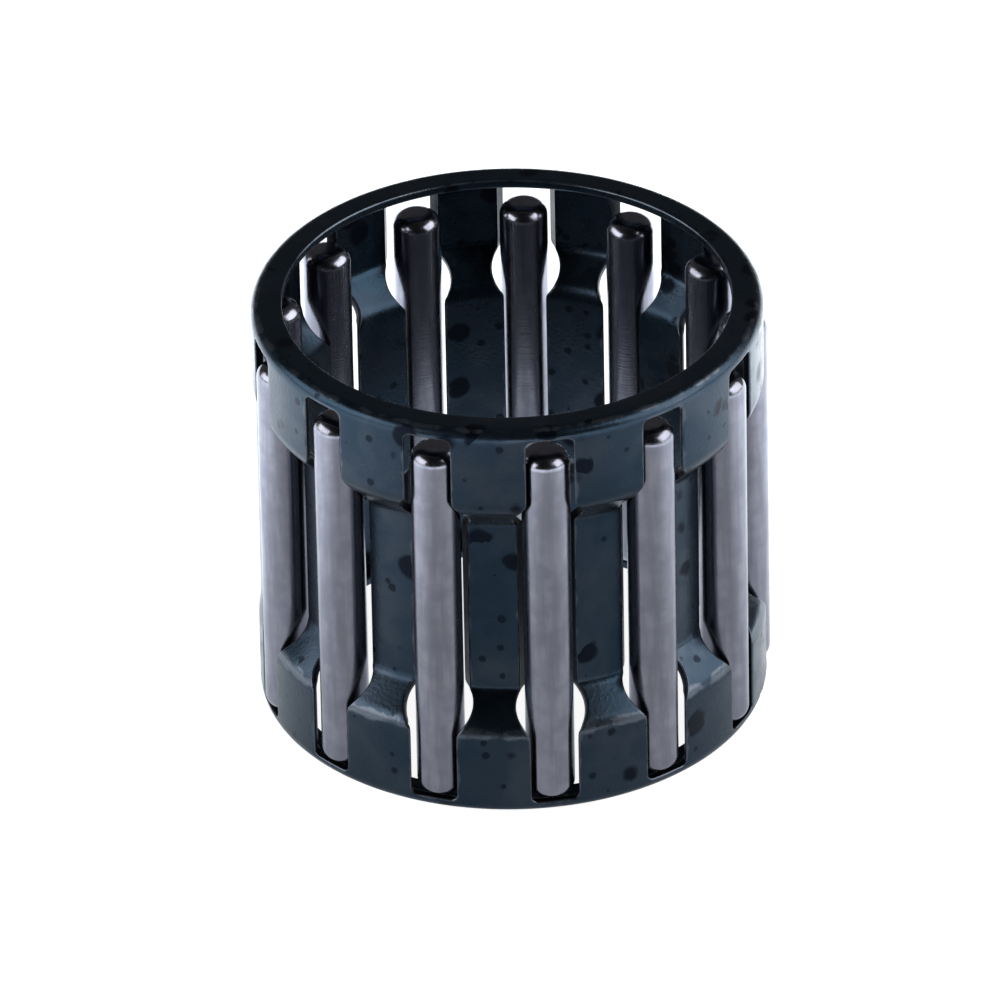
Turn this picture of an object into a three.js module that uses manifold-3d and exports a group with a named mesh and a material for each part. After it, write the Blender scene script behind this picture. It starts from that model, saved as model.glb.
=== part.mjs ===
// Needle roller and cage assembly, 13 mm shaft by 16 mm housing bore by 14 mm wide.
// Millimetres, +Z up. The origin is on the bearing's axis, at the lower end face.
// The shaft and the housing bore are the raceways, so there are no rings.

import * as THREE from "three";
import { mergeVertices } from "three/addons/utils/BufferGeometryUtils.js";
import Module from "manifold-3d";

const wasm = await Module();
wasm.setup();

// Needles, evenly spaced on the pitch circle, the first one on +X.
const NEEDLE_COUNT = 13;
const NEEDLE_RADIUS = 0.75;
const NEEDLE_LENGTH = 12.4;
const NEEDLE_CORNER_RADIUS = 0.43;
const NEEDLE_END_CROWN = 0.03;
const NEEDLE_END_GAP = 0.03;
const PITCH_RADIUS = 7.25;
// The needles are loose, so each lies off its pocket's middle, on the side nearer to the Y axis.
const NEEDLE_SIDE_PLAY = 0.055;

// Cage: one strip of sheet steel with an M-shaped section, its flanges at the two ends.
const CAGE_WIDTH = 13.8;
const SHEET = 0.3;
const BAND_RADIUS = 7.88;
const BAR_RADIUS = 6.87;
const FLANGE_HOLE_RADIUS = 6.9;
const LEDGE_START = 2.82;
const LEDGE_END = 3.84;
const FLANGE_BEND_RADIUS = 0.2;
const LEDGE_BEND_RADIUS = 0.3;

// Pockets. Widths are at the bands' outside and shrink towards the axis.
const POCKET_MARGIN = 0.38;
const POCKET_HALF_WIDTH = 0.74;
const POCKET_CORNER_RADIUS = 0.2;
// A round relief is punched at each ledge, and the ledge's slope flattens it.
const RELIEF_HALF_WIDTH = 1.14;
const RELIEF_FLATNESS = 0.68;
// The bands' outer lips keep the needle from falling out, and the bars' inner lips from falling in.
const BAND_INSIDE_HALF_GAP = 0.88;
const BAR_LIP_HALF_GAP = 0.65;
const BAR_OUTSIDE_HALF_GAP = 0.86;

// Facets
const SECTORS_PER_POCKET = 4;
const NEEDLE_SIDES = 16;
const LEDGE_BEND_STEPS = 1;
const FLANGE_BEND_STEPS = 2;
const CORNER_STEPS = 2;
const RELIEF_STEPS = 6;

const POCKET_ANGLE = (2 * Math.PI) / NEEDLE_COUNT;
const QUARTER_TURN = Math.PI / 2;

const blackenedSteel = {
  color: 0x2a313d,
  roughness: 0.42,
  metalness: 0.75,
};
const groundSteel = {
  color: 0xa9a9b2,
  roughness: 0.28,
  metalness: 1,
};

// A closed three.js geometry as a solid.
function solidFrom(geometry) {
  const bare = geometry.clone();
  bare.deleteAttribute("normal");
  bare.deleteAttribute("uv");
  const merged = mergeVertices(bare, 1e-5);
  const mesh = new wasm.Mesh({
    numProp: 3,
    vertProperties: merged.attributes.position.array,
    triVerts: new Uint32Array(merged.index.array),
  });
  return new wasm.Manifold(mesh);
}

// A solid as a flat-shaded three.js geometry.
function geometryFrom(solid) {
  const mesh = solid.getMesh();
  const geometry = new THREE.BufferGeometry();
  geometry.setAttribute("position", new THREE.BufferAttribute(mesh.vertProperties, 3));
  geometry.setIndex(new THREE.BufferAttribute(mesh.triVerts, 1));
  const flat = geometry.toNonIndexed();
  flat.computeVertexNormals();
  return flat;
}

function namedMesh(name, geometry, finish) {
  const mesh = new THREE.Mesh(geometry, new THREE.MeshStandardMaterial(finish));
  mesh.name = name;
  return mesh;
}

// Turns an outline of radius and height about the Z axis, with a corner of the facets on +X.
function turned(outline, sides) {
  const lathe = new THREE.LatheGeometry(outline, sides, QUARTER_TURN);
  return lathe.rotateX(QUARTER_TURN);
}

// The points of a quarter-circle or a smaller arc, by its centre and its two angles.
function arcPoints(centre, radius, from, to, steps) {
  const points = [];
  for (let i = 0; i <= steps; i += 1) {
    const angle = from + ((to - from) * i) / steps;
    points.push(
      new THREE.Vector2(
        centre.x + radius * Math.cos(angle),
        centre.y + radius * Math.sin(angle),
      ),
    );
  }
  return points;
}

// Stations along a strip that runs straight between corners and bends at each one. Each has the
// middle of the sheet and the direction that faces away from the bearing's inside.
function stripStations(corners, bendRadii, bendSteps) {
  const headings = corners.slice(1).map((corner, i) => corner.clone().sub(corners[i]).angle());
  const station = (middle, heading) => ({
    middle,
    outward: new THREE.Vector2(Math.sin(heading), -Math.cos(heading)),
  });
  const stations = [station(corners[0], headings[0])];
  for (let i = 1; i < corners.length - 1; i += 1) {
    const turn = headings[i] - headings[i - 1];
    const side = Math.sign(turn);
    const radius = bendRadii[i];
    const before = station(corners[i], headings[i - 1]);
    const ahead = new THREE.Vector2(Math.cos(headings[i - 1]), Math.sin(headings[i - 1]));
    const centre = corners[i]
      .clone()
      .addScaledVector(ahead, -radius * Math.tan(Math.abs(turn) / 2))
      .addScaledVector(before.outward, -side * radius);
    for (let step = 0; step <= bendSteps[i]; step += 1) {
      const bent = station(centre, headings[i - 1] + (turn * step) / bendSteps[i]);
      bent.middle = centre.clone().addScaledVector(bent.outward, side * radius);
      stations.push(bent);
    }
  }
  stations.push(station(corners.at(-1), headings.at(-1)));
  return stations;
}

// The cage's M-shaped section: flange, band, ledge, recessed bars, ledge, band, flange.
function cageSection() {
  const half = SHEET / 2;
  const band = BAND_RADIUS - half;
  const bar = BAR_RADIUS - half;
  const lowerCorners = [
    new THREE.Vector2(FLANGE_HOLE_RADIUS, half),
    new THREE.Vector2(band, half),
    new THREE.Vector2(band, LEDGE_START),
    new THREE.Vector2(bar, LEDGE_END),
  ];
  const upperCorners = lowerCorners
    .map((corner) => new THREE.Vector2(corner.x, CAGE_WIDTH - corner.y))
    .reverse();
  const lowerRadii = [0, FLANGE_BEND_RADIUS, LEDGE_BEND_RADIUS, LEDGE_BEND_RADIUS];
  const lowerSteps = [0, FLANGE_BEND_STEPS, LEDGE_BEND_STEPS, LEDGE_BEND_STEPS];
  const stations = stripStations(
    [...lowerCorners, ...upperCorners],
    [...lowerRadii, ...lowerRadii.toReversed()],
    [...lowerSteps, ...lowerSteps.toReversed()],
  );
  const skin = (sign) =>
    stations.map(({ middle, outward }) => middle.clone().addScaledVector(outward, sign * half));
  const outline = [...skin(1), ...skin(-1).reverse()];
  outline.push(outline[0].clone());
  return outline;
}

// One side of a pocket's outline, from its lower end up to the lower end of the bars.
function pocketEdge() {
  const corner = new THREE.Vector2(
    POCKET_HALF_WIDTH - POCKET_CORNER_RADIUS,
    POCKET_MARGIN + POCKET_CORNER_RADIUS,
  );
  return [...arcPoints(corner, POCKET_CORNER_RADIUS, -QUARTER_TURN, 0, CORNER_STEPS), ...reliefEdge()];
}

// The relief's edge, from the band's opening to the bars' lips.
function reliefEdge() {
  const from = -Math.acos(POCKET_HALF_WIDTH / RELIEF_HALF_WIDTH);
  const to = Math.acos(lipHalfWidth() / RELIEF_HALF_WIDTH);
  const middle = (LEDGE_START + LEDGE_END) / 2;
  return arcPoints(new THREE.Vector2(0, 0), RELIEF_HALF_WIDTH, from, to, RELIEF_STEPS).map(
    (point) => new THREE.Vector2(point.x, middle + point.y * RELIEF_FLATNESS),
  );
}

// The lips' gap, brought out to the bands' radius as the pocket's other widths are.
function lipHalfWidth() {
  return (BAR_LIP_HALF_GAP * BAND_RADIUS) / (BAR_RADIUS - SHEET);
}

function pocketOutline() {
  const lowerRight = pocketEdge();
  const upperRight = lowerRight
    .map((point) => new THREE.Vector2(point.x, CAGE_WIDTH - point.y))
    .reverse();
  const right = [...lowerRight, ...upperRight];
  const left = right.map((point) => new THREE.Vector2(-point.x, point.y)).reverse();
  return new THREE.Shape([...right, ...left]);
}

// The punch for a pocket on +X: its outline, tapering towards the bearing's axis.
function pocketPunch() {
  const inside = BAR_RADIUS - 2 * SHEET;
  const outside = BAND_RADIUS + 2 * SHEET;
  const punch = new THREE.ExtrudeGeometry(pocketOutline(), {
    depth: outside - inside,
    bevelEnabled: false,
  });
  punch.applyMatrix4(
    new THREE.Matrix4().makeBasis(
      new THREE.Vector3(0, 1, 0),
      new THREE.Vector3(0, 0, 1),
      new THREE.Vector3(1, 0, 0),
    ),
  );
  punch.translate(inside, 0, 0);
  const position = punch.attributes.position;
  for (let i = 0; i < position.count; i += 1) {
    position.setY(i, (position.getY(i) * position.getX(i)) / BAND_RADIUS);
  }
  return solidFrom(punch);
}

// A wedge that slants the pocket's flanks through the sheet, between two heights.
function flankPunch(outsideRadius, outsideHalfGap, insideHalfGap, bottom, top) {
  const inside = outsideRadius - SHEET;
  const slope = (outsideHalfGap - insideHalfGap) / SHEET;
  const halfGapAt = (radius) => insideHalfGap + (radius - inside) * slope;
  const near = inside - SHEET / 2;
  const far = outsideRadius + SHEET / 2;
  const wedge = new THREE.Shape([
    new THREE.Vector2(near, -halfGapAt(near)),
    new THREE.Vector2(far, -halfGapAt(far)),
    new THREE.Vector2(far, halfGapAt(far)),
    new THREE.Vector2(near, halfGapAt(near)),
  ]);
  const punch = new THREE.ExtrudeGeometry(wedge, { depth: top - bottom, bevelEnabled: false });
  return solidFrom(punch.translate(0, 0, bottom));
}

// The bars' flanks open outwards, and each band's flanks open inwards.
function flankPunches() {
  const low = POCKET_MARGIN + POCKET_CORNER_RADIUS;
  const bars = [BAR_RADIUS, BAR_OUTSIDE_HALF_GAP, BAR_LIP_HALF_GAP];
  const band = [BAND_RADIUS, POCKET_HALF_WIDTH, BAND_INSIDE_HALF_GAP];
  return flankPunch(...bars, LEDGE_END, CAGE_WIDTH - LEDGE_END)
    .add(flankPunch(...band, low, LEDGE_START))
    .add(flankPunch(...band, CAGE_WIDTH - LEDGE_START, CAGE_WIDTH - low));
}

function cage() {
  const ring = solidFrom(turned(cageSection(), NEEDLE_COUNT * SECTORS_PER_POCKET));
  const punch = pocketPunch().add(flankPunches());
  let cut = ring;
  for (let i = 0; i < NEEDLE_COUNT; i += 1) {
    const degrees = THREE.MathUtils.radToDeg(i * POCKET_ANGLE);
    cut = cut.subtract(punch.rotate([0, 0, degrees]));
  }
  return namedMesh("cage", geometryFrom(cut), blackenedSteel);
}

// A straight cylinder with a rounded corner and a faint crown at each end, standing on z = 0.
function needleGeometry() {
  const cornerCentre = new THREE.Vector2(
    NEEDLE_RADIUS - NEEDLE_CORNER_RADIUS,
    NEEDLE_END_CROWN + NEEDLE_CORNER_RADIUS,
  );
  const lower = [
    new THREE.Vector2(0, 0),
    ...arcPoints(cornerCentre, NEEDLE_CORNER_RADIUS, -QUARTER_TURN, 0, CORNER_STEPS),
  ];
  const upper = lower
    .map((point) => new THREE.Vector2(point.x, NEEDLE_LENGTH - point.y))
    .reverse();
  return turned([...lower, ...upper], NEEDLE_SIDES);
}

function needle(index) {
  const name = "needle_" + String(index + 1).padStart(2, "0");
  const mesh = namedMesh(name, needleGeometry(), groundSteel);
  const angle = index * POCKET_ANGLE;
  const side = index === 0 ? 0 : NEEDLE_SIDE_PLAY * Math.sign(Math.sin(2 * angle));
  mesh.position.set(
    PITCH_RADIUS * Math.cos(angle) - side * Math.sin(angle),
    PITCH_RADIUS * Math.sin(angle) + side * Math.cos(angle),
    POCKET_MARGIN + NEEDLE_END_GAP,
  );
  return mesh;
}

const bearing = new THREE.Group();
bearing.add(cage());
for (let i = 0; i < NEEDLE_COUNT; i += 1) bearing.add(needle(i));

export default bearing;
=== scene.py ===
import math

import bpy
from mathutils import Matrix, Vector


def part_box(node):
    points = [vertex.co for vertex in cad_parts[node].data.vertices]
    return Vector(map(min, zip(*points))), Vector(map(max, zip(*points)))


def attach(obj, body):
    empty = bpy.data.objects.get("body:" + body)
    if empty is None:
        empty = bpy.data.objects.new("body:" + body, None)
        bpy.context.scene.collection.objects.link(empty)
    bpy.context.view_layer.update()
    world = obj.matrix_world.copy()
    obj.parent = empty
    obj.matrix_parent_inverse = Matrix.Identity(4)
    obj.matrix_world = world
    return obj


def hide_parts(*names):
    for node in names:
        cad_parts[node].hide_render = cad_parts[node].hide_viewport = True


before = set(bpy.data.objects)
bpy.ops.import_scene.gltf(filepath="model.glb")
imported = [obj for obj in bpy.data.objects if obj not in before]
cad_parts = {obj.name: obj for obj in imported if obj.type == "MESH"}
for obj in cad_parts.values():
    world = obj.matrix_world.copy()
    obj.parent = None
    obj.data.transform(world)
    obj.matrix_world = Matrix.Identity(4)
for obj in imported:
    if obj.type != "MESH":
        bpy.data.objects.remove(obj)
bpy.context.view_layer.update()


# ---------------------------------------------------------------------------------------- cage
# The cage is one strip of thin sheet steel, formed to an M-shaped section, rolled up and closed.
# Its pockets are punched and its edges tumbled round. It is blackened hot and dipped in oil, so
# it is blue-black, with rounder darker spots where the oil pooled and dried.

MM = 0.001
cage_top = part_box("cage")[1]
needle_names = sorted(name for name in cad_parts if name.startswith("needle"))
pocket_count = len(needle_names)
half_pitch = math.pi / pocket_count

sheet = 0.3 * MM
band_outside = cage_top.x
bar_outside = 6.87 * MM
band_middle = band_outside - sheet / 2
bar_middle = bar_outside - sheet / 2
flange_hole = 6.9 * MM
flange_bend = 0.2 * MM
ledge_bend = 0.6 * MM
ledge_start = 2.82 * MM
ledge_end = 3.84 * MM
ledge_lean = math.atan2(band_middle - bar_middle, ledge_end - ledge_start)


def straight(start, stop):
    """A straight stretch of the strip's section, as (length, function of the distance along it)."""
    length = math.dist(start, stop)
    ahead = ((stop[0] - start[0]) / length, (stop[1] - start[1]) / length)

    def at(distance):
        place = (start[0] + ahead[0] * distance, start[1] + ahead[1] * distance)
        return place, (ahead[1], -ahead[0])

    return length, at


def bend(centre, radius, first, last, hollow=False):
    """A bend of the section about a centre, between two directions of its outward side."""
    length = radius * abs(last - first)
    side = -1 if hollow else 1

    def at(distance):
        angle = first + (last - first) * distance / length
        outward = (math.cos(angle), math.sin(angle))
        place = (
            centre[0] + side * radius * outward[0],
            centre[1] + side * radius * outward[1],
        )
        return place, outward

    return length, at


def half_section():
    """The section's stretches, from the lower flange's hole up to half the cage's height."""
    reach = ledge_bend * math.tan(ledge_lean / 2)
    flange_centre = (band_middle - flange_bend, sheet / 2 + flange_bend)
    crest_centre = (band_middle - ledge_bend, ledge_start - reach)
    foot_centre = (bar_middle + ledge_bend, ledge_end + reach)
    flange = straight((flange_hole, sheet / 2), (flange_centre[0], sheet / 2))
    corner = bend(flange_centre, flange_bend, -math.pi / 2, 0)
    band = straight((band_middle, flange_centre[1]), (band_middle, crest_centre[1]))
    crest = bend(crest_centre, ledge_bend, 0, ledge_lean)
    foot = bend(foot_centre, ledge_bend, ledge_lean, 0, hollow=True)
    ledge = straight(crest[1](crest[0])[0], foot[1](0)[0])
    bar = straight((bar_middle, foot_centre[1]), (bar_middle, cage_top.z / 2))
    return [flange, corner, band, crest, ledge, foot, bar]


stretches = half_section()
stretch_ends = [sum(length for length, _ in stretches[: k + 1]) for k in range(len(stretches))]
strip_length = 2 * stretch_ends[-1]


def section_at(distance):
    """(radius, height) at the middle of the sheet, and its outward direction there."""
    if distance > strip_length / 2:
        (radius, height), (out_r, out_z) = section_at(strip_length - distance)
        return (radius, cage_top.z - height), (out_r, -out_z)
    start = 0.0
    for (length, at), end in zip(stretches, stretch_ends):
        if distance <= end:
            return at(max(distance - start, 0.0))
        start = end
    return at(length)


def sheet_point(angle, distance, lift):
    """A point of the cage: its angle about the axis, its distance along the strip's section,
    and how far it lies outside the middle of the sheet."""
    (radius, height), (out_r, out_z) = section_at(distance)
    radius += lift * out_r
    return radius * math.cos(angle), radius * math.sin(angle), height + lift * out_z


# A pocket is narrowest at the bands' outside, which keeps the needle from falling out, and at the
# bars' inside, which keeps it from falling in. A round relief is punched in it at each ledge.
# The gaps and the fillet are angles about the axis, and the gaps are half openings. A skin's
# sign is the side of the sheet's middle that it lies on.
OUTER, INNER = 1, -1
pocket_margin = 0.38 * MM
pocket_corner = 0.2 * MM
band_gaps = {
    OUTER: math.asin(0.74 * MM / band_outside),
    INNER: math.asin(0.88 * MM / (band_outside - sheet)),
}
bar_gaps = {
    OUTER: math.asin(0.86 * MM / bar_outside),
    INNER: math.asin(0.65 * MM / (bar_outside - sheet)),
}
relief_radius = 1.07 * MM
relief_reach = 1.1 * relief_radius
relief_middle = (stretch_ends[3] + stretch_ends[4]) / 2
relief_fillet = 0.008
pocket_start = stretch_ends[1] + pocket_margin - stretches[2][1](0)[0][1]
# The sheet round the pockets gives way to the rims on the flange's bend.
rim_start = stretch_ends[1] - 0.4 * stretches[1][0]


def side_gap(distance, side):
    """Half of the pocket's opening above its corners, with the relief blended into its sides."""
    lips = band_gaps[side] if distance < relief_middle else bar_gaps[side]
    half_chord = math.sqrt(max(relief_radius**2 - (distance - relief_middle) ** 2, 0))
    relief = half_chord / section_at(distance)[0][0]
    return (lips + relief + math.hypot(lips - relief, relief_fillet)) / 2


def spread(start, stop, count):
    """count values after start, evenly spaced and ending on stop."""
    return [start + (stop - start) * k / count for k in range(1, count + 1)]


END_STEPS = 4
HALF_CORNER_STEPS = 4
SIDE_STEPS = [4, 8, 6, 12, 8, 4, 6]


def quarter_outline(side):
    """A quarter of the pocket's outline, from the middle of its lower end to half height: where
    each point is on the sheet laid flat, and where the sheet's own border is beside it."""
    corner = band_gaps[side] * band_middle - pocket_corner
    border_corner = 0.55 * half_pitch
    points = [((0.0, pocket_start), (0.0, rim_start))]
    for share in spread(0, 1, END_STEPS):
        points.append(((corner * share, pocket_start), (border_corner * share, rim_start)))
    top = pocket_start + pocket_corner
    borders = [(angle, rim_start) for angle in spread(border_corner, half_pitch, HALF_CORNER_STEPS)]
    borders += [(half_pitch, along) for along in spread(rim_start, top, HALF_CORNER_STEPS)]
    for turn, border in zip(spread(0, math.pi / 2, len(borders)), borders):
        across = corner + pocket_corner * math.sin(turn)
        along = pocket_start + pocket_corner * (1 - math.cos(turn))
        points.append(((across, along), border))
    marks = [top, relief_middle - relief_reach]
    marks += stretch_ends[2:6] + [relief_middle + relief_reach, stretch_ends[6]]
    for start, stop, count in zip(marks, marks[1:], SIDE_STEPS):
        for step in spread(start, stop, count):
            across = side_gap(step, side) * section_at(step)[0][0]
            points.append(((across, step), (half_pitch, step)))
    return points


def mirrored_in_height(entry):
    """The same point of an outline above half the cage's height."""
    (across, along), (angle, border) = entry
    return (across, strip_length - along), (angle, strip_length - border)


def mirrored_across(entry):
    """The same point of an outline on the pocket's other side."""
    (across, along), (angle, border) = entry
    return (-across, along), (-angle, border)


def whole_outline(side):
    """The pocket's whole outline on one skin, as a closed loop of such points."""
    quarter = quarter_outline(side)
    right = quarter + [mirrored_in_height(entry) for entry in quarter[-2::-1]]
    return right + [mirrored_across(entry) for entry in right[-2:0:-1]]


# The punched edges are rounded by tumbling, and the flanges' holes a little more. Handling rubs
# the finish off the edges, as far as edge_wear of the way to the sheet's border. The bends are
# lightened as well: partly polish from forming and partly a painted highlight along each bend.
# A rub of 1 is bright, and the lowest rub marks a pocket's flank, which is painted dark as shade.
punched_round = 0.055 * MM
hole_round = 0.075 * MM
edge_wear = 0.2
edge_rub = 0.5
# The ledge and flange bends are lightened: partly polish, partly a painted highlight along the
# bend.
ledge_polish_and_highlight = 0.9
rim_polish_and_highlight = 0.7
rim_polish_and_highlight_inside = 0.6
# The flank's mark: the pocket's flank is painted dark, as shade.
PAINTED_FLANK_SHADE = -1.0
ROUND_STEPS = 4
BEND_STEPS = 6
FLANGE_STEPS = 4
border_shares = [0.0, 0.06, edge_wear, 0.45, 0.72, 1.0]


def away_from(outline, k):
    """The direction on the flat sheet that leads out of the pocket at its outline's point k."""
    (before, _), (after, _) = outline[k - 1], outline[(k + 1) % len(outline)]
    across, along = after[0] - before[0], after[1] - before[1]
    length = math.hypot(across, along)
    return along / length, -across / length


def polished_and_highlit(distance, side):
    """How light the outside of a ledge's bend is painted, on one skin: partly polish from the
    forming rolls and partly a painted highlight along the bend.
    """
    before = 2 if side == OUTER else 4
    low, high = stretch_ends[before], stretch_ends[before + 1]
    share = min(max((distance - low) / (high - low), 0.0), 1.0)
    return ledge_polish_and_highlight * math.sin(math.pi * share)


def skin_column(outline, k, side):
    """Points from the border to the pocket's flank at the outline's point k, on one skin of the
    sheet, each with its rub there: wear on edges, a painted highlight on bends, painted shade on
    the flank."""
    (across, along), (border_angle, border_along) = outline[k]
    out_across, out_along = away_from(outline, k)

    def beside(offset, lift):
        distance = along + offset * out_along
        angle = (across + offset * out_across) / section_at(distance)[0][0]
        return angle, distance, lift

    edge_angle, edge_along, _ = beside(punched_round, 0)
    column = []
    for share in reversed(border_shares):
        angle = edge_angle + (border_angle - edge_angle) * share
        distance = edge_along + (border_along - edge_along) * share
        rub = max(edge_rub * (1 - share / edge_wear), polished_and_highlit(distance, side))
        column.append((sheet_point(angle, distance, side * sheet / 2), rub))
    turns = spread(0, math.pi / 2, ROUND_STEPS)
    for turn in turns:
        offset = punched_round * (1 - math.sin(turn))
        lift = sheet / 2 - punched_round * (1 - math.cos(turn))
        # The flank takes the lowest rub, its painted shade.
        rub = edge_rub + (1 - edge_rub) * math.sin(2 * turn) if turn < turns[-1] else PAINTED_FLANK_SHADE
        column.append((sheet_point(*beside(offset, side * lift)), rub))
    return column


def rim_column(angle):
    """Points round the lower flange beside a pocket, from its outer skin to its inner skin."""
    flange = stretch_ends[0]
    stops = [rim_start] + spread(rim_start, flange, BEND_STEPS)
    stops += spread(flange, hole_round, FLANGE_STEPS)
    round_bend = [(stop - flange) / (rim_start - flange) for stop in stops]
    # The flange's bend is lightened: partly polish, partly a painted highlight along the bend.
    bend_polish_and_highlight = [rim_polish_and_highlight * math.sin(math.pi * max(share, 0.0)) for share in round_bend]
    outer = [(stop, sheet / 2, rub) for stop, rub in zip(stops, bend_polish_and_highlight)]
    for turn in spread(0, math.pi / 2, ROUND_STEPS):
        offset = hole_round * (1 - math.sin(turn))
        lift = sheet / 2 - hole_round * (1 - math.cos(turn))
        outer.append((offset, lift, math.sin(2 * turn)))
    inner = [(stop, -lift, rim_polish_and_highlight_inside * rub) for stop, lift, rub in reversed(outer)]
    return [(sheet_point(angle, stop, lift), rub) for stop, lift, rub in outer + inner]


def grid_faces(first, columns, length, closed):
    """Four-sided faces between columns of points that are numbered one column after another."""
    faces = []
    for k in range(columns if closed else columns - 1):
        here = first + k * length
        beside = first + (k + 1) % columns * length
        for j in range(length - 1):
            faces.append((here + j, here + j + 1, beside + j + 1, beside + j))
    return faces


def pocket_surround():
    """The sheet round one pocket on +X, halfway to the next pocket on both sides."""
    outer, inner = whole_outline(OUTER), whole_outline(INNER)
    columns = []
    for k in range(len(outer)):
        columns.append(skin_column(outer, k, OUTER) + skin_column(inner, k, INNER)[::-1])
    points = [entry for column in columns for entry in column]
    faces = grid_faces(0, len(columns), len(columns[0]), closed=True)
    border = sorted({entry[1][0] for entry in outer if entry[1][1] == rim_start})
    rims = [rim_column(angle) for angle in border]
    first = len(points)
    points += [entry for rim in rims for entry in rim]
    faces += [face[::-1] for face in grid_faces(first, len(rims), len(rims[0]), closed=False)]
    first = len(points)
    for rim in rims:
        points += [((x, y, cage_top.z - z), rub) for (x, y, z), rub in rim]
    faces += grid_faces(first, len(rims), len(rims[0]), closed=False)
    mesh = bpy.data.meshes.new("pocket_surround")
    mesh.from_pydata([point for point, _ in points], [], faces)
    # Each point's rub: wear on edges, a painted highlight on bends and painted shade on flanks.
    wear_and_painted_light = mesh.attributes.new("wear_and_painted_light", "FLOAT", "POINT")
    wear_and_painted_light.data.foreach_set("value", [rub for _, rub in points])
    return mesh


def new_tree(name, inputs):
    """An empty geometry node tree with one geometry output and these named inputs."""
    tree = bpy.data.node_groups.new(name, "GeometryNodeTree")
    tree.interface.new_socket("Geometry", in_out="OUTPUT", socket_type="NodeSocketGeometry")
    sockets = {}
    for label, kind in inputs.items():
        sockets[label] = tree.interface.new_socket(label, in_out="INPUT", socket_type=kind)
    given = tree.nodes.new("NodeGroupInput")
    return tree, sockets, given


def add_node(tree, kind, inputs=None, **settings):
    """A node with its settings, its inputs given as values or as the sockets that feed them."""
    node = tree.nodes.new(kind)
    for key, value in settings.items():
        setattr(node, key, value)
    for key, value in (inputs or {}).items():
        if isinstance(value, bpy.types.NodeSocket):
            tree.links.new(value, node.inputs[key])
        else:
            node.inputs[key].default_value = value
    return node


def finish_tree(tree, geometry, material):
    """Ends a tree in real geometry that wears the material."""
    real = add_node(tree, "GeometryNodeRealizeInstances", {"Geometry": geometry})
    joined = add_node(
        tree,
        "GeometryNodeMergeByDistance",
        {"Geometry": real.outputs[0], "Distance": 0.0002 * MM},
    )
    smooth = add_node(tree, "GeometryNodeSetShadeSmooth", {"Geometry": joined.outputs[0]})
    dressed = add_node(tree, "GeometryNodeSetMaterial", {"Geometry": smooth.outputs[0]})
    tree.links.new(material, dressed.inputs["Material"])
    out = tree.nodes.new("NodeGroupOutput")
    tree.links.new(dressed.outputs[0], out.inputs["Geometry"])


def grown(name, tree, sockets, values):
    """The plain mesh that a tree makes from these input values, as an object of that name."""
    holder = bpy.data.objects.new(name + "_holder", bpy.data.meshes.new(name + "_holder"))
    bpy.context.scene.collection.objects.link(holder)
    modifier = holder.modifiers.new("tree", "NODES")
    modifier.node_group = tree
    for label, value in values.items():
        modifier[sockets[label].identifier] = value
    evaluated = holder.evaluated_get(bpy.context.evaluated_depsgraph_get())
    mesh = bpy.data.meshes.new_from_object(evaluated)
    bpy.data.objects.remove(holder)
    mesh.name = name
    piece = bpy.data.objects.new(name, mesh)
    bpy.context.scene.collection.objects.link(piece)
    return piece


def cage_tree():
    """Sets the sheet round one pocket about the axis as often as there are pockets."""
    tree, sockets, given = new_tree(
        "ring_of_pockets",
        {
            "Surround": "NodeSocketObject",
            "Pockets": "NodeSocketInt",
            "Pitch Angle": "NodeSocketFloat",
            "Finish": "NodeSocketMaterial",
        },
    )
    surround = add_node(tree, "GeometryNodeObjectInfo", {"Object": given.outputs["Surround"]})
    places = add_node(tree, "GeometryNodePoints", {"Count": given.outputs["Pockets"]})
    number = tree.nodes.new("GeometryNodeInputIndex")
    turn = combined(tree, "MULTIPLY", number.outputs[0], given.outputs["Pitch Angle"])
    euler = add_node(tree, "ShaderNodeCombineXYZ", {"Z": turn})
    rotation = add_node(tree, "FunctionNodeEulerToRotation", {"Euler": euler.outputs[0]})
    ring = add_node(
        tree,
        "GeometryNodeInstanceOnPoints",
        {
            "Points": places.outputs[0],
            "Instance": surround.outputs["Geometry"],
            "Rotation": rotation.outputs[0],
        },
    )
    finish_tree(tree, ring.outputs[0], given.outputs["Finish"])
    return tree, sockets


def new_shader_group(name, inputs, outputs):
    """An empty shader node group with these named inputs, with their defaults, and outputs."""
    group = bpy.data.node_groups.new(name, "ShaderNodeTree")
    for label, (kind, default) in inputs.items():
        socket = group.interface.new_socket(label, in_out="INPUT", socket_type=kind)
        if default is not None:
            socket.default_value = default
    for label, kind in outputs.items():
        group.interface.new_socket(label, in_out="OUTPUT", socket_type=kind)
    return group, group.nodes.new("NodeGroupInput"), group.nodes.new("NodeGroupOutput")


def place_group(tree, group, inputs):
    """A shader group set down in a material, its inputs given by name."""
    return add_node(tree, "ShaderNodeGroup", inputs, node_tree=group)


def eased(tree, value, low, high, first=0.0, last=1.0):
    """A value carried smoothly from one range to another, and held at its ends."""
    node = add_node(
        tree,
        "ShaderNodeMapRange",
        {"Value": value, "From Min": low, "From Max": high, "To Min": first, "To Max": last},
        interpolation_type="SMOOTHSTEP",
    )
    return node.outputs["Result"]


def blended(tree, factor, first, second):
    """A colour between two colours."""
    node = add_node(tree, "ShaderNodeMix", {0: factor, 6: first, 7: second}, data_type="RGBA")
    return node.outputs[2]


def noise(tree, position, scale, detail=2.0, distortion=0.0):
    """Cloudy noise about 0.5, with so many lumps to a millimetre."""
    node = add_node(
        tree,
        "ShaderNodeTexNoise",
        {"Vector": position, "Scale": scale, "Detail": detail, "Distortion": distortion},
    )
    return node.outputs[0]


def combined(tree, operation, first, second):
    """Two values put through a Math operation."""
    return add_node(tree, "ShaderNodeMath", {0: first, 1: second}, operation=operation).outputs[0]


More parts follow.
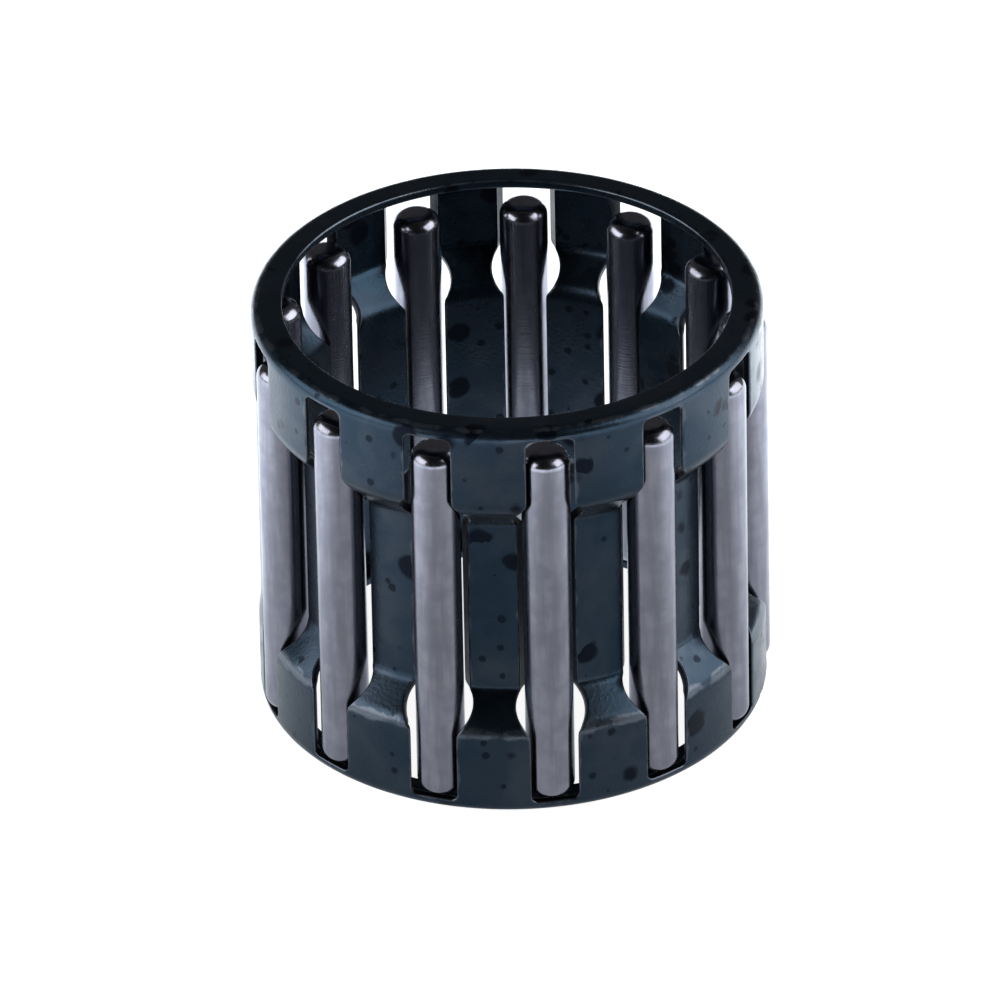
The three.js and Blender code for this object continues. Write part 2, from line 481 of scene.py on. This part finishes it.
def in_millimetres(tree):
    """The place on the bearing, in millimetres, so that a texture's scale is per millimetre."""
    place = tree.nodes.new("ShaderNodeTexCoord").outputs["Object"]
    node = add_node(tree, "ShaderNodeMapping", {"Vector": place, "Scale": (1 / MM,) * 3})
    return node.outputs[0]


def stretched(tree, position, scale):
    """A position scaled along each axis, so that a texture on it is drawn out or squeezed."""
    return add_node(tree, "ShaderNodeMapping", {"Vector": position, "Scale": scale}).outputs[0]


def edge_wear_and_highlight_group():
    """Where an edge is worn bright and where a bend has a painted highlight: the mesh's own rub,
    broken up.
    """
    group, given, out = new_shader_group(
        "edge_wear_and_highlight",
        {
            "Position": ("NodeSocketVector", None),
            "Wear And Painted Light": ("NodeSocketFloat", 0.0),
            "Grain": ("NodeSocketFloat", 6.0),
            "Start": ("NodeSocketFloat", 0.5),
        },
        {"Bright": "NodeSocketFloat"},
    )
    ragged = noise(group, given.outputs["Position"], given.outputs["Grain"], detail=4.0)
    offset = eased(group, ragged, 0.3, 0.7, -0.3, 0.3)
    broken = combined(group, "ADD", given.outputs["Wear And Painted Light"], offset)
    full = combined(group, "ADD", given.outputs["Start"], 0.35)
    group.links.new(eased(group, broken, given.outputs["Start"], full), out.inputs["Bright"])
    return group


def fine_grain_group():
    """A metal surface's fine relief, and the faint unevenness of its finish."""
    group, given, out = new_shader_group(
        "fine_grain",
        {
            "Position": ("NodeSocketVector", None),
            "Grain": ("NodeSocketFloat", 18.0),
            "Patches": ("NodeSocketFloat", 2.0),
        },
        {"Height": "NodeSocketFloat", "Patchy": "NodeSocketFloat"},
    )
    relief = noise(group, given.outputs["Position"], given.outputs["Grain"], detail=5.0)
    patches = noise(group, given.outputs["Position"], given.outputs["Patches"], detail=3.0)
    group.links.new(relief, out.inputs["Height"])
    group.links.new(eased(group, patches, 0.3, 0.7), out.inputs["Patchy"])
    return group


def oil_spots(tree, position, spacing, largest):
    """Round spots of scattered sizes, up to a radius: 1 in a spot and 0 outside it."""
    wobble = eased(tree, noise(tree, position, 1.0 / largest), 0.2, 0.8, 0.0, 0.22 * largest)
    nudge = add_node(tree, "ShaderNodeVectorMath", {0: position, 1: wobble}, operation="ADD")
    cells = add_node(
        tree,
        "ShaderNodeTexVoronoi",
        {"Vector": nudge.outputs[0], "Scale": 1 / spacing, "Randomness": 1.0},
    )
    away = combined(tree, "MULTIPLY", cells.outputs["Distance"], spacing)
    chance = add_node(tree, "ShaderNodeSeparateColor", {0: cells.outputs["Color"]}).outputs[0]
    radius = eased(tree, chance, 0.35, 1.0, 0.0, largest)
    inside = combined(tree, "SUBTRACT", radius, away)
    return eased(tree, inside, 0.0, 0.3 * largest)


edge_wear_and_highlight = edge_wear_and_highlight_group()
fine_grain = fine_grain_group()


def blackened_steel():
    """Hot-blackened steel under a film of oil: cloudy blue-black, spotted, worn bright on its
    edges, with painted highlights on its bends and painted shade on its pockets' flanks.
    """
    material = bpy.data.materials.new("blackened_steel")
    material.use_nodes = True
    tree = material.node_tree
    shader = tree.nodes["Principled BSDF"]
    position = in_millimetres(tree)
    grain = place_group(tree, fine_grain, {"Position": position, "Grain": 9.0, "Patches": 1.1})
    cloud = eased(tree, noise(tree, position, 0.32, detail=3.0, distortion=0.6), 0.35, 0.65)
    steel_blue = blended(tree, cloud, (0.013, 0.028, 0.044, 1), (0.034, 0.046, 0.062, 1))
    mottled = blended(tree, grain.outputs["Patchy"], steel_blue, (0.020, 0.033, 0.050, 1))
    large = oil_spots(tree, position, 1.1, 0.5)
    small = oil_spots(tree, position, 0.55, 0.17)
    spots = combined(tree, "MAXIMUM", large, combined(tree, "MULTIPLY", small, 0.8))
    spotted = blended(tree, spots, mottled, (0.004, 0.007, 0.013, 1))
    wear_and_painted_light = add_node(tree, "ShaderNodeAttribute", attribute_name="wear_and_painted_light").outputs["Fac"]
    edges = place_group(tree, edge_wear_and_highlight, {"Position": position, "Wear And Painted Light": wear_and_painted_light, "Grain": 1.6})
    # Edge wear and the painted highlight on the bends lighten the colour here.
    bright = combined(tree, "MULTIPLY", edges.outputs["Bright"], 0.35)
    worn = blended(tree, bright, spotted, (0.17, 0.185, 0.21, 1))
    # The pockets' flanks are painted near black here, as shade.
    flank_shade = eased(tree, wear_and_painted_light, -0.3, PAINTED_FLANK_SHADE)
    finish = blended(tree, flank_shade, worn, (0.006, 0.008, 0.011, 1))
    tree.links.new(finish, shader.inputs["Base Color"])
    dulled = eased(tree, grain.outputs["Patchy"], 0.0, 1.0, 0.23, 0.31)
    spoiled = combined(tree, "MULTIPLY", combined(tree, "MAXIMUM", spots, flank_shade), 0.1)
    rough = combined(tree, "ADD", dulled, spoiled)
    tree.links.new(rough, shader.inputs["Roughness"])
    shader.inputs["Metallic"].default_value = 0.88
    shader.inputs["Specular IOR Level"].default_value = 0.25
    film = combined(tree, "MULTIPLY", spots, 0.25)
    height = combined(tree, "ADD", grain.outputs["Height"], film)
    bump = add_node(tree, "ShaderNodeBump", {"Height": height, "Distance": 0.006 * MM})
    tree.links.new(bump.outputs[0], shader.inputs["Normal"])
    return material


blackened = blackened_steel()
surround_object = bpy.data.objects.new("pocket_surround", pocket_surround())
bpy.context.scene.collection.objects.link(surround_object)
ring_tree, ring_sockets = cage_tree()
cage = grown(
    "cage_strip",
    ring_tree,
    ring_sockets,
    {
        "Surround": surround_object,
        "Pockets": pocket_count,
        "Pitch Angle": 2 * half_pitch,
        "Finish": blackened,
    },
)
bpy.data.objects.remove(surround_object)
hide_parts("cage")
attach(cage, "cage")


# ------------------------------------------------------------------------------------- needles
# Each needle is a straight roller of through-hardened bearing steel, centreless ground and
# lapped bright, with a big round corner and a faint crown at each end.

needle_low, needle_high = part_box(needle_names[0])
needle_radius = (needle_high.y - needle_low.y) / 2
needle_length = needle_high.z - needle_low.z
needle_corner = 0.43 * MM
needle_crown = 0.03 * MM
needle_sides = 64
CORNER_STEPS = 8


def needle_tree():
    """A needle turned from its outline and set down on its seat in a pocket."""
    tree, sockets, given = new_tree(
        "turned_needle",
        {
            "Radius": "NodeSocketFloat",
            "Length": "NodeSocketFloat",
            "Corner": "NodeSocketFloat",
            "Crown": "NodeSocketFloat",
            "Sides": "NodeSocketInt",
            "Seat": "NodeSocketVector",
            "Finish": "NodeSocketMaterial",
        },
    )
    radius, length, crown = (given.outputs[k] for k in ("Radius", "Length", "Crown"))
    shoulder = combined(tree, "SUBTRACT", length, crown)
    low_corner = add_node(tree, "ShaderNodeCombineXYZ", {"X": radius, "Z": crown})
    high_corner = add_node(tree, "ShaderNodeCombineXYZ", {"X": radius, "Z": shoulder})
    high_end = add_node(tree, "ShaderNodeCombineXYZ", {"Z": length})
    outline = add_node(
        tree,
        "GeometryNodeCurvePrimitiveQuadrilateral",
        {
            "Point 1": (0, 0, 0),
            "Point 2": low_corner.outputs[0],
            "Point 3": high_corner.outputs[0],
            "Point 4": high_end.outputs[0],
        },
        mode="POINTS",
    )
    opened = add_node(
        tree,
        "GeometryNodeSetSplineCyclic",
        {"Geometry": outline.outputs[0], "Cyclic": False},
    )
    rounded = add_node(
        tree,
        "GeometryNodeFilletCurve",
        {"Curve": opened.outputs[0], "Count": CORNER_STEPS, "Radius": given.outputs["Corner"]},
        mode="POLY",
    )
    place = tree.nodes.new("GeometryNodeInputPosition")
    split = add_node(tree, "ShaderNodeSeparateXYZ", {0: place.outputs[0]})
    kept = add_node(tree, "GeometryNodeCaptureAttribute", {"Geometry": rounded.outputs[0]})
    kept.capture_items.new("FLOAT", "Girth")
    tree.links.new(split.outputs["X"], kept.inputs["Girth"])
    on_axis = add_node(tree, "ShaderNodeCombineXYZ", {"Z": split.outputs["Z"]})
    spine = add_node(
        tree,
        "GeometryNodeSetPosition",
        {"Geometry": kept.outputs["Geometry"], "Position": on_axis.outputs[0]},
    )
    circle = add_node(
        tree,
        "GeometryNodeCurvePrimitiveCircle",
        {"Resolution": given.outputs["Sides"], "Radius": 1.0},
    )
    turned = add_node(
        tree,
        "GeometryNodeCurveToMesh",
        {
            "Curve": spine.outputs[0],
            "Profile Curve": circle.outputs[0],
            "Scale": kept.outputs["Girth"],
        },
    )
    seated = add_node(
        tree,
        "GeometryNodeTransform",
        {"Geometry": turned.outputs[0], "Translation": given.outputs["Seat"]},
    )
    finish_tree(tree, seated.outputs[0], given.outputs["Finish"])
    return tree, sockets


def ground_steel():
    """Centreless-ground steel: faint rings from the wheel, streaks along it and dull patches."""
    material = bpy.data.materials.new("ground_steel")
    material.use_nodes = True
    tree = material.node_tree
    shader = tree.nodes["Principled BSDF"]
    position = in_millimetres(tree)
    grain = place_group(tree, fine_grain, {"Position": position, "Grain": 14.0, "Patches": 1.6})
    along = noise(tree, stretched(tree, position, (4, 4, 0.4)), 1.0, detail=4.0)
    streaks = eased(tree, along, 0.35, 0.68)
    rings = noise(tree, stretched(tree, position, (0.5, 0.5, 22)), 1.0, detail=2.0)
    steel = blended(tree, streaks, (0.255, 0.256, 0.30, 1), (0.19, 0.192, 0.226, 1))
    dull = combined(tree, "MULTIPLY", grain.outputs["Patchy"], 0.7)
    tarnished = blended(tree, dull, steel, (0.165, 0.168, 0.205, 1))
    tree.links.new(tarnished, shader.inputs["Base Color"])
    worn = combined(tree, "ADD", combined(tree, "MULTIPLY", streaks, 0.05), 0.17)
    rough = combined(tree, "ADD", worn, combined(tree, "MULTIPLY", dull, 0.08))
    tree.links.new(rough, shader.inputs["Roughness"])
    shader.inputs["Metallic"].default_value = 1.0
    height = combined(tree, "ADD", grain.outputs["Height"], rings)
    bump = add_node(tree, "ShaderNodeBump", {"Height": height, "Distance": 0.0025 * MM})
    tree.links.new(bump.outputs[0], shader.inputs["Normal"])
    return material


ground = ground_steel()
pocket_tree, pocket_sockets = needle_tree()
for node_name in needle_names:
    low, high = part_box(node_name)
    roller = grown(
        node_name.replace("needle", "roller"),
        pocket_tree,
        pocket_sockets,
        {
            "Radius": needle_radius,
            "Length": needle_length,
            "Corner": needle_corner,
            "Crown": needle_crown,
            "Sides": needle_sides,
            "Seat": ((low.x + high.x) / 2, (low.y + high.y) / 2, low.z),
            "Finish": ground,
        },
    )
    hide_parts(node_name)
    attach(roller, node_name)


# --------------------------------------------------------------------------- stand and lighting
# A pale acrylic sheet on a light table, with a softbox on either side. It looks evenly white,
# but what the steel mirrors of it is dim in front of the bearing and stronger further away. The
# room behind is a little lighter than the room in front.

floor_reach = 0.35


def pale_acrylic():
    """White acrylic lit from below: evenly white to look at, with a dim patch in mirrored light."""
    material = bpy.data.materials.new("pale_acrylic")
    material.use_nodes = True
    tree = material.node_tree
    shader = tree.nodes["Principled BSDF"]
    shader.inputs["Base Color"].default_value = (0.58, 0.58, 0.58, 1)
    shader.inputs["Roughness"].default_value = 0.6
    patch_middle, patch_edge, patch_end = (2.5, -21.0, 0.0), 9.0, 47.0
    patch_glow, open_glow, seen_glow = 0.3, 2.35, 0.9
    seen = add_node(tree, "ShaderNodeLightPath").outputs["Is Camera Ray"]
    away = add_node(
        tree,
        "ShaderNodeVectorMath",
        {0: in_millimetres(tree), 1: patch_middle},
        operation="DISTANCE",
    )
    lit = eased(tree, away.outputs["Value"], patch_edge, patch_end, patch_glow, open_glow)
    glow = add_node(tree, "ShaderNodeMix", {0: seen, 2: lit, 3: seen_glow})
    tree.links.new(glow.outputs[0], shader.inputs["Emission Strength"])
    tint = blended(tree, seen, (0.86, 0.93, 1.0, 1), (1, 1, 1, 1))
    tree.links.new(tint, shader.inputs["Emission Color"])
    return material


def acrylic_sheet():
    """The square sheet that the bearing stands on."""
    signs = [(-1, -1), (1, -1), (1, 1), (-1, 1)]
    corners = [(x * floor_reach, y * floor_reach, 0) for x, y in signs]
    mesh = bpy.data.meshes.new("floor")
    mesh.from_pydata(corners, [], [(0, 1, 2, 3)])
    mesh.materials.append(pale_acrylic())
    table = bpy.data.objects.new("floor", mesh)
    bpy.context.scene.collection.objects.link(table)
    return table


floor = acrylic_sheet()


def dim_studio():
    """The room round the table, nearly dark towards the camera."""
    world = bpy.data.worlds.new("studio")
    world.use_nodes = True
    tree = world.node_tree
    wall = tree.nodes["Background"]
    sky = add_node(tree, "ShaderNodeTexCoord").outputs["Generated"]
    heading = add_node(tree, "ShaderNodeSeparateXYZ", {0: sky})
    dim = eased(tree, heading.outputs["Y"], -0.5, 0.9, 0.01, 0.09)
    tree.links.new(dim, wall.inputs["Strength"])
    wall.inputs["Color"].default_value = (1.0, 0.98, 1.0, 1)
    return world


bpy.context.scene.world = dim_studio()
middle = Vector((0, 0, cage_top.z / 2))


def heading_to(azimuth, elevation):
    """The direction from the bearing at these angles in degrees. Azimuth 0 is -Y, the front."""
    a, e = math.radians(azimuth), math.radians(elevation)
    return Vector((math.sin(a) * math.cos(e), -math.cos(a) * math.cos(e), math.sin(e)))


def softbox(name, azimuth, elevation, distance, width, height, power):
    """A rectangular lamp aimed at the bearing."""
    lamp = bpy.data.lights.new(name, "AREA")
    lamp.shape = "RECTANGLE"
    lamp.size, lamp.size_y = width, height
    lamp.energy = power
    stand = bpy.data.objects.new(name, lamp)
    back = heading_to(azimuth, elevation)
    stand.location = middle + back * distance
    stand.rotation_euler = (-back).to_track_quat("-Z", "Y").to_euler()
    bpy.context.scene.collection.objects.link(stand)


softbox("left_softbox", -80, 22, distance=0.25, width=0.3, height=0.15, power=0.54)
softbox("right_softbox", 82, 29, distance=0.25, width=0.3, height=0.21, power=0.76)


def front_camera():
    """A long lens that looks down on the bearing from the front."""
    camera = bpy.data.cameras.new("camera")
    camera.sensor_width = 36
    camera.lens = 550.5
    camera.shift_x = -0.0104
    camera.shift_y = -0.0131
    camera.clip_start = 0.05
    camera.clip_end = 5
    tripod = bpy.data.objects.new("camera", camera)
    bpy.context.scene.collection.objects.link(tripod)
    distance = 60 * cage_top.x
    roll = math.radians(-1.1)
    back = heading_to(-1.98, 32.37)
    aim = (-back).to_track_quat("-Z", "Y").to_matrix()
    tripod.location = middle + back * distance
    tripod.rotation_euler = (aim @ Matrix.Rotation(roll, 3, "Z")).to_euler()
    return tripod


bpy.context.scene.camera = front_camera()
bpy.context.scene.view_settings.view_transform = "Standard"
